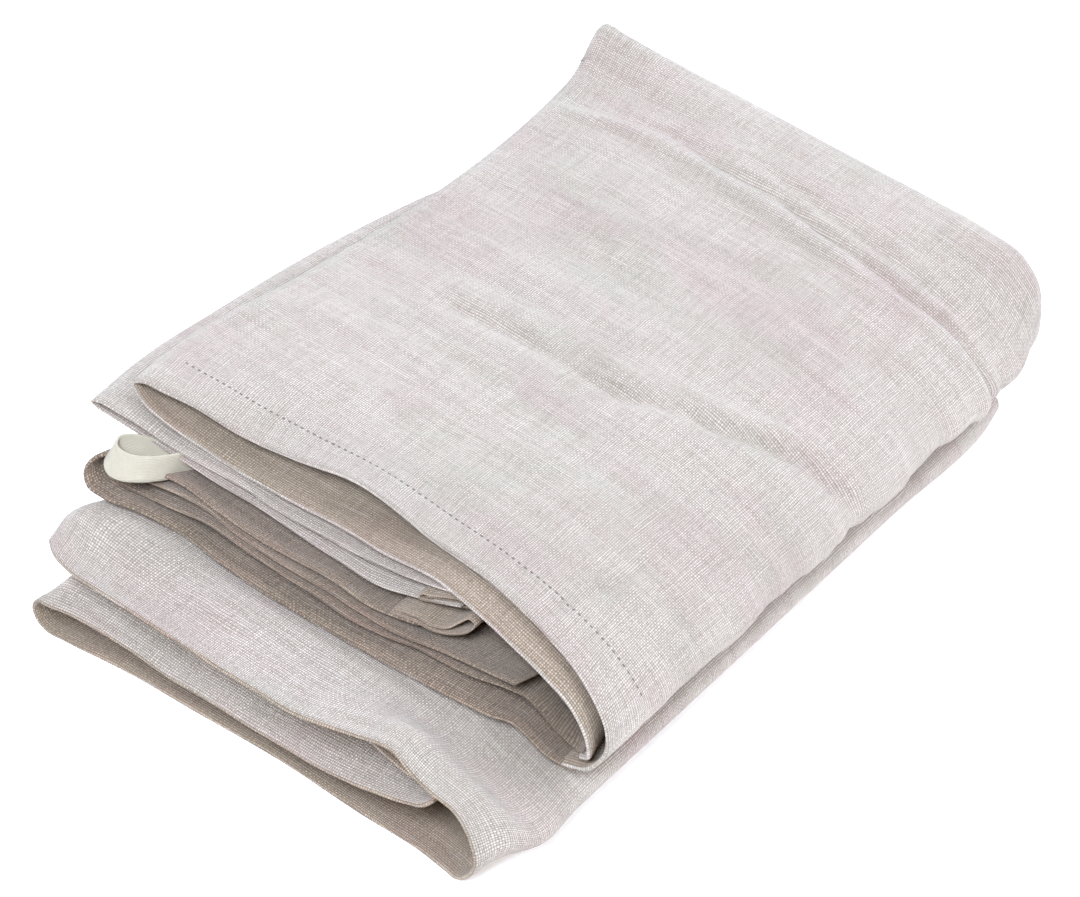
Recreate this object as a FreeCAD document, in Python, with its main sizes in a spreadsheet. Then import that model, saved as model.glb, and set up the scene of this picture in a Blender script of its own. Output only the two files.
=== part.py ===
"""Linen gift bag, folded flat: a tube of cloth folded once lengthwise and once crosswise, with a tape loop.

Frame: X across the folded bag, Y from the open mouth end to the cross fold, +Z up, millimetres.
The origin is the middle of the footprint, on the surface that the bag lies on.
Every leaf of cloth is one solid, and so is every fold that joins two leaves.
"""

import FreeCAD, Part
import math
import os

import Sketcher

Vector = FreeCAD.Vector

SIZES = {
    # cloth, thread and tape
    "cloth": 1.2,
    "thread": 0.8,
    "tape_width": 10.0,
    "tape_gauge": 1.4,
    # lower half of the bag: where its leaves start, end and lie
    "base_near": -215.0,
    "base_far": 172.0,
    "base_slope": 82.0,
    "base_fold_right": 131.5,
    "base_fold_left": -104.0,
    "base_hook": 101.0,
    "base_corner": -117.0,
    "base_bottom": 0.6,
    "base_lining_low": 14.0,
    "base_lining_high": 26.0,
    "base_top": 45.0,
    "base_side": 25.4,
    "base_rise": 8.0,
    # upper half of the bag, with the mouth at its near end
    "mouth_near": -122.0,
    "mouth_lining_near": -134.0,
    "mouth_low_near": -168.0,
    "mouth_far": 198.0,
    "mouth_left": -134.0,
    "mouth_low_left": -132.0,
    "mouth_lift": -70.0,
    "mouth_slope": 68.0,
    "mouth_low_slope": 82.0,
    "outer_fold_right": 132.2,
    "outer_fold_top": 58.6,
    "outer_fold_low": 30.2,
    "outer_fold_run": 8.5,
    "inner_fold_right": 128.0,
    "inner_fold_top": 53.5,
    "inner_fold_low": 33.5,
    "inner_fold_run": 6.0,
    "leg_dip": 0.8,
    "mouth_bottom": 47.5,
    "mouth_lining_low": 50.5,
    "mouth_lining_lift": 53.0,
    "mouth_lining": 76.5,
    "mouth_top": 87.0,
    "hem_width": 24.0,
    "stitch_inset": 22.0,
    # the corner of the mouth that folds back, cut off by a diagonal
    "corner_left_end": 45.0,
    "corner_near_end": 40.0,
    "corner_gap": 1.0,
    # leaves tucked inside the upper half
    "tuck_near": -138.0,
    "tuck_left": -147.0,
    "tuck_right": 40.0,
    "tuck_level": 72.6,
    "ply_near": -152.0,
    "ply_left": -103.0,
    "ply_right": 36.0,
    "ply_high": 58.4,
    "ply_low": 55.6,
    "flap_near": -139.0,
    "flap_left": 44.0,
    "flap_right": 110.0,
    "flap_level": 53.6,
    "tuck_far": 150.0,
    "seam_bar_width": 22.0,
    "seam_bar_height": 3.2,
    "seam_upper_middle": 52.0,
    "seam_upper_level": 68.0,
    "seam_lower_middle": 56.0,
    "seam_lower_level": 61.0,
    # the part of the crosswise fold that hangs behind the upper half
    "hang_reach": 16.4,
    # tape loop between the tucked leaf and the plies
    "tape_level": 60.5,
    "loop_root_across": -90.0,
    "loop_root_along": -145.0,
    "loop_turn": 12.0,
    "loop_reach": 38.4,
    "loop_eye": 15.0,
    "loop_play": 0.6,
    "tail_length": 28.0,
}

doc = FreeCAD.newDocument("FoldedLinenBag")
sheet = doc.addObject("Spreadsheet::Sheet", "Sizes")
for row, (alias, value) in enumerate(SIZES.items(), start=1):
    sheet.set(f"A{row}", alias)
    sheet.set(f"B{row}", str(value))
    sheet.setAlias(f"B{row}", alias)
doc.recompute()

parts = []


def size(alias):
    """The number in the sheet's cell of that name."""
    return float(sheet.get(alias))


def bind(obj, **expressions):
    """Tie properties of obj to the sheet; a dot in a property's path is written as two underscores."""
    for name, text in expressions.items():
        obj.setExpression(name.replace("__", "."), text)


def keep(obj, label):
    """Give a finished sub-part its name and list it for writing."""
    obj.Label = label
    parts.append(obj)
    return obj


def leaf(label, left, right, level, near, far):
    """A flat leaf of cloth: a thin box between four edges, centred on its level. All five are cell names."""
    box = doc.addObject("Part::Box", label)
    bind(
        box,
        Length=f"Sizes.{right} - Sizes.{left}",
        Width=f"Sizes.{far} - Sizes.{near}",
        Height="Sizes.cloth",
        Placement__Base__x=f"Sizes.{left}",
        Placement__Base__y=f"Sizes.{near}",
        Placement__Base__z=f"Sizes.{level} - Sizes.cloth / 2",
    )
    return keep(box, label)


def origin_plane(body, role):
    for feature in body.Origin.OriginFeatures:
        if feature.Role == role:
            return feature
    raise ValueError(role)


def sketch_on(body, role, name):
    sketch = body.newObject("Sketcher::SketchObject", name)
    sketch.AttachmentSupport = [(origin_plane(body, role), "")]
    sketch.MapMode = "FlatFace"
    return sketch


def close_loop(sketch, first, count):
    """Join each edge's end to the next one's start."""
    for i in range(count):
        following = first + (i + 1) % count
        sketch.addConstraint(Sketcher.Constraint("Coincident", first + i, 2, following, 1))


def add_polygon(sketch, corners):
    first = len(sketch.Geometry)
    for i, corner in enumerate(corners):
        following = corners[(i + 1) % len(corners)]
        sketch.addGeometry(Part.LineSegment(Vector(*corner, 0), Vector(*following, 0)), False)
    close_loop(sketch, first, len(corners))


def pad(body, sketch, length, reverse=False):
    feature = body.newObject("PartDesign::Pad", sketch.Name + "Pad")
    feature.Profile = sketch
    feature.Reversed = reverse
    feature.setExpression("Length", length)
    return feature


def plan_panel(label, corners, level):
    """A leaf whose outline, seen from above, is a polygon."""
    body = doc.addObject("PartDesign::Body", label)
    sketch = sketch_on(body, "XY_Plane", label + "Outline")
    add_polygon(sketch, corners)
    pad(body, sketch, "Sizes.cloth")
    bind(body, Placement__Base__z=f"Sizes.{level} - Sizes.cloth / 2")
    return keep(body, label)


def half_turn(sketch, centre, radius, side):
    """A half circle about centre that bulges to the side, 1 for +X and -1 for -X. Returns its number."""
    x, z = centre
    tip = Vector(x + side * radius, z, 0)
    arc = Part.Arc(Vector(x, z - radius, 0), tip, Vector(x, z + radius, 0))
    return sketch.addGeometry(arc, False)


def add_leg(sketch, points, half):
    """One leg of a fold, from its free end to the turn: its upper and lower edges and its square end."""
    for offset in (half, -half):
        for start, end in zip(points, points[1:]):
            first = Vector(start[0], start[1] + offset, 0)
            last = Vector(end[0], end[1] + offset, 0)
            sketch.addGeometry(Part.LineSegment(first, last), False)
    x, z = points[0]
    sketch.addGeometry(Part.LineSegment(Vector(x, z - half, 0), Vector(x, z + half, 0)), False)


def fold(label, upper, lower, low, high, middle, side, near, far):
    """A C-shaped fold of cloth: an upper leg, a half turn and a lower leg, drawn across and padded along Y.

    upper and lower list the legs' points from the free end towards the turn, without the turn's own ends.
    low and high are the cells with the turn's two levels, and middle is the cell with its centre's X.
    """
    half = size("cloth") / 2
    radius = (size(high) - size(low)) / 2
    centre = (size(middle), (size(high) + size(low)) / 2)
    body = doc.addObject("PartDesign::Body", label)
    sketch = sketch_on(body, "XZ_Plane", label + "Section")
    add_leg(sketch, upper + [(centre[0], size(high))], half)
    add_leg(sketch, lower + [(centre[0], size(low))], half)
    for sign, offset in (("+", half), ("-", -half)):
        arc = half_turn(sketch, centre, radius + offset, side)
        number = sketch.addConstraint(Sketcher.Constraint("Radius", arc, radius + offset))
        text = f"(Sizes.{high} - Sizes.{low}) / 2 {sign} Sizes.cloth / 2"
        sketch.setExpression(f"Constraints[{number}]", text)
    pad(body, sketch, f"Sizes.{far} - Sizes.{near}", reverse=True)
    bind(body, Placement__Base__y=f"Sizes.{near}")
    return keep(body, label)


def ribbon_across(label, points, left, right):
    """A ribbon of cloth that runs up the far end: its spine in the YZ plane, padded along X."""
    half = size("cloth") / 2
    normals = []
    for i, point in enumerate(points):
        before = points[max(i - 1, 0)]
        after = points[min(i + 1, len(points) - 1)]
        run = (after[0] - before[0], after[1] - before[1])
        length = math.hypot(*run)
        normals.append((-run[1] / length, run[0] / length))
    inner = [(y + n[0] * half, z + n[1] * half) for (y, z), n in zip(points, normals)]
    outer = [(y - n[0] * half, z - n[1] * half) for (y, z), n in zip(points, normals)]
    body = doc.addObject("PartDesign::Body", label)
    sketch = sketch_on(body, "YZ_Plane", label + "Section")
    add_polygon(sketch, inner + outer[::-1])
    pad(body, sketch, f"Sizes.{right} - Sizes.{left}")
    bind(body, Placement__Base__x=f"Sizes.{left}")
    return keep(body, label)


# ---- lower half of the bag ----

MEETING_GAP = 0.3  # between a leaf and the fold that continues it


def build_lower_half():
    near, far = "base_near", "base_far"
    leaf("base_bottom_leaf", "base_corner", "base_fold_right", "base_bottom", near, far)
    slope_start = (size("base_slope") + MEETING_GAP, size("base_top"))
    fold("base_right_fold", [slope_start], [], "base_bottom", "base_side", "base_fold_right", 1, near, far)
    leaf("base_top_leaf", "base_fold_left", "base_slope", "base_top", near, far)
    fold("base_left_upper_fold", [], [], "base_lining_high", "base_top", "base_fold_left", -1, near, far)
    leaf("base_lining_upper_leaf", "base_fold_left", "base_hook", "base_lining_high", near, far)
    fold("base_lining_hook", [], [], "base_lining_low", "base_lining_high", "base_hook", 1, near, far)
    leaf("base_lining_lower_leaf", "base_corner", "base_hook", "base_lining_low", near, far)
    fold("base_left_lower_fold", [], [], "base_bottom", "base_lining_low", "base_corner", -1, near, far)
    far_end = size("base_far")
    bottom = size("base_bottom")
    out = far_end + size("base_rise")
    rise = [
        (far_end + MEETING_GAP, bottom),
        (out - 0.4 * size("base_rise"), bottom + 1),
        (out, size("base_side") / 2),
        (out - 0.2 * size("base_rise"), size("base_side") - 1),
    ]
    ribbon_across("cross_fold_lower", rise, "base_corner", "base_fold_right")


# ---- upper half of the bag ----


def build_upper_half():
    far = "mouth_far"
    lining_near = "mouth_lining_near"
    low_near = "mouth_low_near"
    leaf("mouth_front_bottom_leaf", "mouth_low_left", "mouth_low_slope", "mouth_bottom", low_near, far)
    leaf("mouth_lining_bottom_leaf", "mouth_lift", "mouth_low_slope", "mouth_lining_low", low_near, far)
    outer_upper = [(size("mouth_slope") + MEETING_GAP, size("mouth_top"))]
    outer_lower = [
        (size("mouth_low_slope") + MEETING_GAP, size("mouth_bottom")),
        (size("outer_fold_right") - size("outer_fold_run"), size("outer_fold_low") + size("leg_dip")),
    ]
    fold(
        "mouth_outer_fold",
        outer_upper,
        outer_lower,
        "outer_fold_low",
        "outer_fold_top",
        "outer_fold_right",
        1,
        "mouth_near",
        far,
    )
    inner_upper = [(size("mouth_slope") + MEETING_GAP, size("mouth_lining"))]
    inner_lower = [
        (size("mouth_low_slope") + MEETING_GAP, size("mouth_lining_low")),
        (size("inner_fold_right") - size("inner_fold_run"), size("inner_fold_low") + size("leg_dip")),
    ]
    fold(
        "mouth_inner_fold",
        inner_upper,
        inner_lower,
        "inner_fold_low",
        "inner_fold_top",
        "inner_fold_right",
        1,
        lining_near,
        far,
    )
    left_lower = [(size("mouth_lift") - MEETING_GAP, size("mouth_lining_low"))]
    fold(
        "mouth_left_lower_fold",
        left_lower,
        [],
        "mouth_bottom",
        "mouth_lining_lift",
        "mouth_low_left",
        -1,
        low_near,
        far,
    )


def diagonal_shift():
    """How far the corner's cut stands back from the diagonal, measured along X and along Y."""
    across = size("corner_near_end") - size("mouth_left")
    along = size("corner_left_end") - size("mouth_near")
    slant = math.hypot(across, along)
    gap = size("corner_gap") / 2
    return gap * slant / along, gap * slant / across


def mouth_panel(name, level, near):
    """The leaf of that level in two pieces: the part that stays and the corner that folds back."""
    left, right, far = size("mouth_left"), size("mouth_slope"), size("mouth_far")
    shift_x, shift_y = diagonal_shift()
    slope = (size("corner_left_end") - size("mouth_near")) / (size("corner_near_end") - size("mouth_left"))
    # where the diagonal meets this leaf's own near edge
    crossing = size("corner_near_end") + (size("mouth_near") - size(near)) / slope
    near_y = size(near)
    corner_y = size("corner_left_end")
    stays = [
        (crossing + shift_x, near_y),
        (right, near_y),
        (right, far),
        (left, far),
        (left, corner_y + shift_y),
    ]
    turns = [(left, near_y), (crossing - shift_x, near_y), (left, corner_y - shift_y)]
    plan_panel(name + "_leaf", stays, level)
    plan_panel(name + "_corner", turns, level)
    return crossing


def strip(label, left, right, near, width, height, base):
    """A thin straight band along X, its lower face at base. Every argument is a sheet expression."""
    box = doc.addObject("Part::Box", label)
    bind(
        box,
        Length=f"({right}) - ({left})",
        Width=width,
        Height=height,
        Placement__Base__x=left,
        Placement__Base__y=near,
        Placement__Base__z=base,
    )
    return keep(box, label)


def hem(name, crossing, near, base):
    """A hem's inner turning in two strips, one each side of the diagonal that cuts it."""
    clearance = 2 * size("corner_gap")
    width = size("hem_width")
    slant = (size("corner_near_end") - size("mouth_left")) / (size("corner_left_end") - size("mouth_near"))
    shared = (near, "Sizes.hem_width", "Sizes.cloth", base)
    strip("mouth_" + name, str(crossing + clearance), "Sizes.mouth_slope", *shared)
    strip("corner_" + name, "Sizes.mouth_left", str(crossing - width * slant - clearance), *shared)


def build_mouth():
    front_crossing = mouth_panel("mouth_front", "mouth_top", "mouth_near")
    lining_crossing = mouth_panel("mouth_lining", "mouth_lining", "mouth_lining_near")
    half = "Sizes.cloth / 2"
    hem("front_hem", front_crossing, "Sizes.mouth_near", f"Sizes.mouth_top - 3 * {half}")
    hem("lining_hem", lining_crossing, "Sizes.mouth_lining_near", f"Sizes.mouth_lining + {half}")
    slant = (size("corner_near_end") - size("mouth_left")) / (size("corner_left_end") - size("mouth_near"))
    row = (
        "Sizes.mouth_near + Sizes.stitch_inset",
        "Sizes.thread",
        "Sizes.thread / 2",
        f"Sizes.mouth_top + {half}",
    )
    corner_end = front_crossing - (size("stitch_inset") + 2 * size("corner_gap")) * slant
    strip("mouth_hem_stitches", str(front_crossing), "Sizes.mouth_slope", *row)
    strip("corner_hem_stitches", "Sizes.mouth_left", str(corner_end), *row)


def build_left_seam():
    """The left edge, where the front and the lining meet: a part that stays and a part that turns."""
    parts_of_seam = {
        "mouth_left_seam": ("corner_left_end", "mouth_far"),
        "corner_left_seam": ("mouth_near", "corner_left_end"),
    }
    for label, (near, far) in parts_of_seam.items():
        seam = fold(label, [], [], "mouth_lining", "mouth_top", "mouth_left", -1, near, far)
        stand_off = 1 if near == "corner_left_end" else 0
        bind(seam, Placement__Base__y=f"Sizes.{near} + {stand_off} * Sizes.corner_gap")


def build_tucked_leaves():
    """What lies between the upper half's two linings: a leaf, two plies, a corner flap, two seam edges."""
    leaf("tucked_leaf", "tuck_left", "tuck_right", "tuck_level", "tuck_near", "tuck_far")
    leaf("inner_ply_upper", "ply_left", "ply_right", "ply_high", "ply_near", "tuck_far")
    leaf("inner_ply_lower", "ply_left", "ply_right", "ply_low", "ply_near", "tuck_far")
    leaf("corner_flap", "flap_left", "flap_right", "flap_level", "flap_near", "tuck_far")
    for place in ("upper", "lower"):
        bar = doc.addObject("Part::Box", "seam_edge_" + place)
        bind(
            bar,
            Length="Sizes.seam_bar_width",
            Width="Sizes.tuck_far - Sizes.flap_near",
            Height="Sizes.seam_bar_height",
            Placement__Base__x=f"Sizes.seam_{place}_middle - Sizes.seam_bar_width / 2",
            Placement__Base__y="Sizes.flap_near",
            Placement__Base__z=f"Sizes.seam_{place}_level - Sizes.seam_bar_height / 2",
        )
        keep(bar, "seam_edge_" + place)


def build_far_end():
    """The upper part of the crosswise fold: it closes the far end of the upper half and hangs behind it."""
    top = size("mouth_top")
    end = size("mouth_far")
    reach = size("hang_reach")
    foot = size("base_top") - 4
    spine = [
        (end + 0.8, top),
        (end + 0.67 * reach, top - 5),
        (end + reach, top - 22),
        (end + 0.8 * reach, foot + 10),
        (end + 2, foot),
    ]
    ribbon_across("cross_fold_upper", spine, "mouth_low_left", "outer_fold_right")


# ---- tape loop ----


def tangent_point(start, middle, radius, side):
    """Where the line from start touches the circle about (middle, 0): above its axis for side 1, else below."""
    to_start = (start[0] - middle, start[1])
    distance = math.hypot(*to_start)
    angle = math.atan2(to_start[1], to_start[0]) + side * math.acos(radius / distance)
    return middle + radius * math.cos(angle), radius * math.sin(angle)


def add_drop(sketch, tip_x, tip_half, middle, radius):
    """A drop shape: a circle about (middle, 0) with two straight sides that run to a tip on the X axis."""
    ends = []
    for side in (1, -1):
        tip = (tip_x, side * tip_half)
        touch = tangent_point(tip, middle, radius, side)
        sketch.addGeometry(Part.LineSegment(Vector(*tip, 0), Vector(*touch, 0)), False)
        ends.append(touch)
    far_side = Vector(middle - radius, 0, 0)
    sketch.addGeometry(Part.Arc(Vector(*ends[0], 0), far_side, Vector(*ends[1], 0)), False)
    if tip_half > 0:
        tip_edge = Part.LineSegment(Vector(tip_x, -tip_half, 0), Vector(tip_x, tip_half, 0))
        sketch.addGeometry(tip_edge, False)


def build_loop():
    """A tape standing on edge, seen from above as a drop whose tip is its sewn root, and its tail."""
    gauge = size("tape_gauge")
    eye_radius = size("loop_eye") / 2
    middle = -size("loop_reach")
    sewn_length = 4.0
    turn = FreeCAD.Rotation(Vector(0, 0, 1), size("loop_turn"))
    body = doc.addObject("PartDesign::Body", "tape_loop")
    sketch = sketch_on(body, "XY_Plane", "tape_loopOutline")
    add_drop(sketch, 0.0, gauge, middle, eye_radius + gauge)
    add_drop(sketch, -sewn_length, 0.0, middle, eye_radius)
    pad(body, sketch, "Sizes.tape_width")
    tail = doc.addObject("Part::Box", "tape_tail")
    bind(tail, Length="Sizes.tail_length", Width="2 * Sizes.tape_gauge", Height="Sizes.tape_width")
    for obj, along, across in ((body, 0.0, 0.0), (tail, size("loop_play"), -gauge)):
        root = Vector(size("loop_root_across"), size("loop_root_along"), size("tape_level"))
        obj.Placement = FreeCAD.Placement(root + turn.multVec(Vector(along, across, 0)), turn)
    keep(body, "tape_loop")
    keep(tail, "tape_tail")


build_lower_half()
build_upper_half()
build_mouth()
build_left_seam()
build_tucked_leaves()
build_far_end()
build_loop()
doc.recompute()

for obj in doc.Objects:
    if "Invalid" in obj.State or "Error" in obj.State:
        raise RuntimeError(f"{obj.Label} failed to build: {obj.State}")
for part in parts:
    if part.Shape.isNull() or not part.Shape.isValid() or part.Shape.Volume <= 0:
        raise RuntimeError(f"{part.Label} has no sound solid")

os.makedirs("parts", exist_ok=True)
for part in parts:
    part.Shape.exportStep(f"parts/{part.Label}.step")
    box = part.Shape.BoundBox
    print(
        f"{part.Label:28s} X {box.XMin:7.1f} {box.XMax:7.1f}  Y {box.YMin:7.1f} {box.YMax:7.1f}"
        f"  Z {box.ZMin:5.1f} {box.ZMax:5.1f}  {part.Shape.Volume / 1000:7.2f} cm3"
    )
print(len(parts), "sub-parts")
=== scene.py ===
"""Looks of a linen gift bag folded flat: its leaves and folds as thin cloth, a tape loop and hem stitches.

Outlines are in millimetres in the CAD frame: X across, Y from the mouth end to the cross fold, +Z up.
"""

import math

import bpy
import numpy as np
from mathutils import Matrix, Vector, noise


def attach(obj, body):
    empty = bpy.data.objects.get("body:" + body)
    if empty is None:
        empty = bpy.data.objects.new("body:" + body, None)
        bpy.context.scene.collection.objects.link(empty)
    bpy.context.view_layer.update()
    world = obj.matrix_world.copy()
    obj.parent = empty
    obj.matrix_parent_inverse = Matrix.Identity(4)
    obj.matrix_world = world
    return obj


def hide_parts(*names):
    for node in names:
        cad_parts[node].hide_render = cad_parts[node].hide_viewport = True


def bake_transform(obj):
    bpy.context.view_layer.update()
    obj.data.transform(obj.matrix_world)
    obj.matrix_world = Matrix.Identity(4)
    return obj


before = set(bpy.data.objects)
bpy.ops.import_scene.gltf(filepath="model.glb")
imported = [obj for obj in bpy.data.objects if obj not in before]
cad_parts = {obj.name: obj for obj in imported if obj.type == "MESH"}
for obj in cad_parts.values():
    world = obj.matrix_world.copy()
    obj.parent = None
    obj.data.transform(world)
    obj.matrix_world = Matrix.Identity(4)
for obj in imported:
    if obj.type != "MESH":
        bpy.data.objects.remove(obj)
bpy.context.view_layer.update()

MM = 0.001

# ---- cloth, tape and thread ----
CLOTH = 1.0  # thickness of one ply
HEM = 2.1  # thickness of the turned hem
HEM_WIDTH = 23.0
THREAD_PITCH = 0.00105  # metres between the linen's threads
TAPE_THREAD_PITCH = 0.00075
TAPE_WIDTH = 12.0
TAPE_GAUGE = 1.2
ACROSS_STEP = 2.0  # spacing of the cloth's mesh
ALONG_STEP = 3.0

# ---- camera ----
AZIMUTH = math.radians(39.5)
ELEVATION = math.radians(43.0)
DISTANCE = 1.58
TARGET = (0.0015, -0.006, 0.035)
LENS = 113.33
SENSOR = 36.0
VIEW_DEPTH = 20.0


# ======== smooth surfaces ========


def smooth(values, knots, at):
    """Values at the given places on a smooth curve that passes through all the knots."""
    gaps = np.diff(knots)
    slopes = np.diff(values, axis=0) / gaps[:, None]
    tangents = np.empty_like(values)
    tangents[0] = slopes[0]
    tangents[-1] = slopes[-1]
    share = (gaps[1:] / (gaps[:-1] + gaps[1:]))[:, None]
    tangents[1:-1] = slopes[:-1] * share + slopes[1:] * (1 - share)
    span = np.clip(np.searchsorted(knots, at, side="right") - 1, 0, len(gaps) - 1)
    gap = gaps[span]
    s = ((at - knots[span]) / gap)[:, None]
    gap = gap[:, None]
    return (
        (2 * s**3 - 3 * s**2 + 1) * values[span]
        + (s**3 - 2 * s**2 + s) * gap * tangents[span]
        + (3 * s**2 - 2 * s**3) * values[span + 1]
        + (s**3 - s**2) * gap * tangents[span + 1]
    )


def running_length(points):
    """Distance along a row of points, averaged over the rows of a grid, starting at 0."""
    steps = np.linalg.norm(np.diff(points, axis=1), axis=2).mean(axis=0)
    return np.concatenate([[0.0], np.cumsum(steps)])


def loft(sections, across_step=ACROSS_STEP, along_step=ALONG_STEP):
    """A grid of points, rows along Y, through sections that all have the same number of points."""
    sections = np.array(sections, float)
    across = running_length(sections)
    columns = np.linspace(0, across[-1], max(int(across[-1] / across_step), 2) + 1)
    rows = np.array([smooth(section, across, columns) for section in sections])
    along = running_length(rows.transpose(1, 0, 2))
    stations = np.linspace(0, along[-1], max(int(along[-1] / along_step), 2) + 1)
    flat = smooth(rows.reshape(len(rows), -1), along, stations)
    return flat.reshape(len(stations), len(columns), 3)


def at_depth(y, outline):
    """A section at one Y from (x, z) pairs."""
    return [(x, y, z) for x, z in outline]


def normals_of(grid):
    """Unit normals of a grid of points."""
    normals = np.cross(np.gradient(grid, axis=1), np.gradient(grid, axis=0))
    return normals / np.maximum(np.linalg.norm(normals, axis=2, keepdims=True), 1e-9)


def ramp(value, start, end):
    """0 before start, 1 after end, smooth between; start may be the larger."""
    s = np.clip((value - start) / (end - start), 0, 1)
    return s * s * (3 - 2 * s)


def bell(distance, width):
    """1 at no distance, falling smoothly to nothing on both sides over about twice the width."""
    return np.exp(-((distance / width) ** 2))


def cloud(grid, size_x, size_y, seed):
    """Smooth noise over a grid's X and Y, from about -1 to 1, stretched by the two sizes in millimetres."""
    flat = grid.reshape(-1, 3)
    values = [noise.noise(Vector((p[0] / size_x, p[1] / size_y, seed + p[2] / 300))) for p in flat]
    return np.array(values).reshape(grid.shape[:2])


def distance_to_line(grid, line):
    """Signed distance in plan from each point of a grid to a polyline; positive on its far side."""
    x = grid[:, :, 0]
    y = grid[:, :, 1]
    xs = [p[0] for p in line]
    ys = [p[1] for p in line]
    return y - np.interp(x, xs, ys)


# ======== meshes ========


def boundary_of(rows, columns):
    """Row and column numbers around a grid's edge, once round."""
    near = [(0, j) for j in range(columns)]
    right = [(i, columns - 1) for i in range(1, rows)]
    far = [(rows - 1, j) for j in range(columns - 2, -1, -1)]
    left = [(i, 0) for i in range(rows - 2, 0, -1)]
    return near + right + far + left


def make_mesh(name, vertices, faces, places, *materials):
    """A smooth-shaded mesh object; its map "weave" holds each vertex's place on the flat cloth, in metres."""
    mesh = bpy.data.meshes.new(name)
    mesh.from_pydata([tuple(v) for v in np.array(vertices) * MM], [], faces)
    layer = mesh.uv_layers.new(name="weave")
    corners = np.empty(len(mesh.loops), int)
    mesh.loops.foreach_get("vertex_index", corners)
    layer.data.foreach_set("uv", (np.array(places)[corners] * MM).ravel())
    mesh.polygons.foreach_set("use_smooth", [True] * len(mesh.polygons))
    for material in materials:
        mesh.materials.append(material)
    mesh.update()
    piece = bpy.data.objects.new(name, mesh)
    bpy.context.scene.collection.objects.link(piece)
    return piece


def shell(name, grid, thickness, material, under_material=None):
    """A closed thin shell of cloth about a grid, with a rounded rim and, if asked, another material below."""
    rows, columns = grid.shape[:2]
    normals = normals_of(grid)
    half = (np.ones((rows, columns)) * thickness / 2)[:, :, None]
    upper = (grid + normals * half).reshape(-1, 3)
    lower = (grid - normals * half).reshape(-1, 3)
    across = running_length(grid)
    along = running_length(grid.transpose(1, 0, 2))
    flat = np.stack(np.meshgrid(across, along), axis=2)
    edge = boundary_of(rows, columns)
    rim = []
    rim_places = []
    for i, j in edge:
        inner_i = min(max(i, 1), rows - 2)
        inner_j = min(max(j, 1), columns - 2)
        outward = grid[i, j] - grid[inner_i, inner_j]
        outward = outward / np.linalg.norm(outward)
        bulge = half[i, j, 0] * 0.9
        rim.append(grid[i, j] + outward * bulge)
        step = np.sign([j - inner_j, i - inner_i])
        rim_places.append(flat[i, j] + step * bulge)
    count = rows * columns
    index = np.arange(count).reshape(rows, columns)
    a, b = index[:-1, :-1].ravel(), index[:-1, 1:].ravel()
    c, d = index[1:, 1:].ravel(), index[1:, :-1].ravel()
    faces = np.stack([a, d, c, b], axis=1).tolist()
    faces += (np.stack([a, b, c, d], axis=1) + count).tolist()
    for k, (i, j) in enumerate(edge):
        following = (k + 1) % len(edge)
        top, top_next = index[i, j], index[edge[following]]
        ring, ring_next = 2 * count + k, 2 * count + following
        faces.append([int(top), int(top_next), ring_next, ring])
        faces.append([ring, ring_next, int(top_next) + count, int(top) + count])
    vertices = np.concatenate([upper, lower, np.array(rim)])
    places = np.concatenate([flat.reshape(-1, 2), flat.reshape(-1, 2), np.array(rim_places)])
    materials = [material]
    if under_material:
        materials.append(under_material)
    piece = make_mesh(name, vertices, faces, places, *materials)
    if under_material:
        sides = np.zeros(len(faces), int)
        sides[len(a) : 2 * len(a)] = 1
        piece.data.polygons.foreach_set("material_index", sides)
    return piece


def hem_thickness(grid, width=HEM_WIDTH):
    """Hem thickness along the near edge, falling to one ply past the hem's width."""
    along = running_length(grid.transpose(1, 0, 2))
    profile = CLOTH + (HEM - CLOTH) * (1 - ramp(along, width - 1.5, width + 2.5))
    return profile[:, None] * np.ones(grid.shape[:2])


# ======== materials ========


class Nodes:
    """Short names for building one material's nodes."""

    def __init__(self, name):
        self.material = bpy.data.materials.new(name)
        self.material.use_nodes = True
        self.tree = self.material.node_tree
        self.shader = self.tree.nodes["Principled BSDF"]

    def add(self, kind, **settings):
        node = self.tree.nodes.new(kind)
        for key, value in settings.items():
            setattr(node, key, value)
        return node

    def put(self, value, socket):
        if isinstance(value, bpy.types.NodeSocket):
            self.tree.links.new(value, socket)
        else:
            socket.default_value = value

    def math(self, operation, *values):
        node = self.add("ShaderNodeMath", operation=operation)
        for value, socket in zip(values, node.inputs):
            self.put(value, socket)
        return node.outputs[0]

    def mix(self, share, first, second, blend="MIX"):
        node = self.add("ShaderNodeMix", data_type="RGBA", blend_type=blend)
        self.put(share, node.inputs["Factor"])
        self.put(first, node.inputs["A"])
        self.put(second, node.inputs["B"])
        return node.outputs["Result"]

    def combine(self, x, y, z=0.0):
        node = self.add("ShaderNodeCombineXYZ")
        for value, socket in zip((x, y, z), node.inputs):
            self.put(value, socket)
        return node.outputs[0]

    def noise(self, vector, scale, detail=2.0, roughness=0.5):
        node = self.add("ShaderNodeTexNoise")
        self.put(vector, node.inputs["Vector"])
        node.inputs["Scale"].default_value = scale
        node.inputs["Detail"].default_value = detail
        node.inputs["Roughness"].default_value = roughness
        return node.outputs["Fac"]

    def remap(self, value, low, high, to_low=0.0, to_high=1.0):
        node = self.add("ShaderNodeMapRange")
        self.put(value, node.inputs["Value"])
        for socket, number in zip(("From Min", "From Max", "To Min", "To Max"), (low, high, to_low, to_high)):
            node.inputs[socket].default_value = number
        return node.outputs["Result"]

    def bump(self, height, strength, distance, under=None):
        node = self.add("ShaderNodeBump")
        node.inputs["Strength"].default_value = strength
        node.inputs["Distance"].default_value = distance
        self.put(height, node.inputs["Height"])
        if under is not None:
            self.put(under, node.inputs["Normal"])
        return node.outputs["Normal"]


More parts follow.
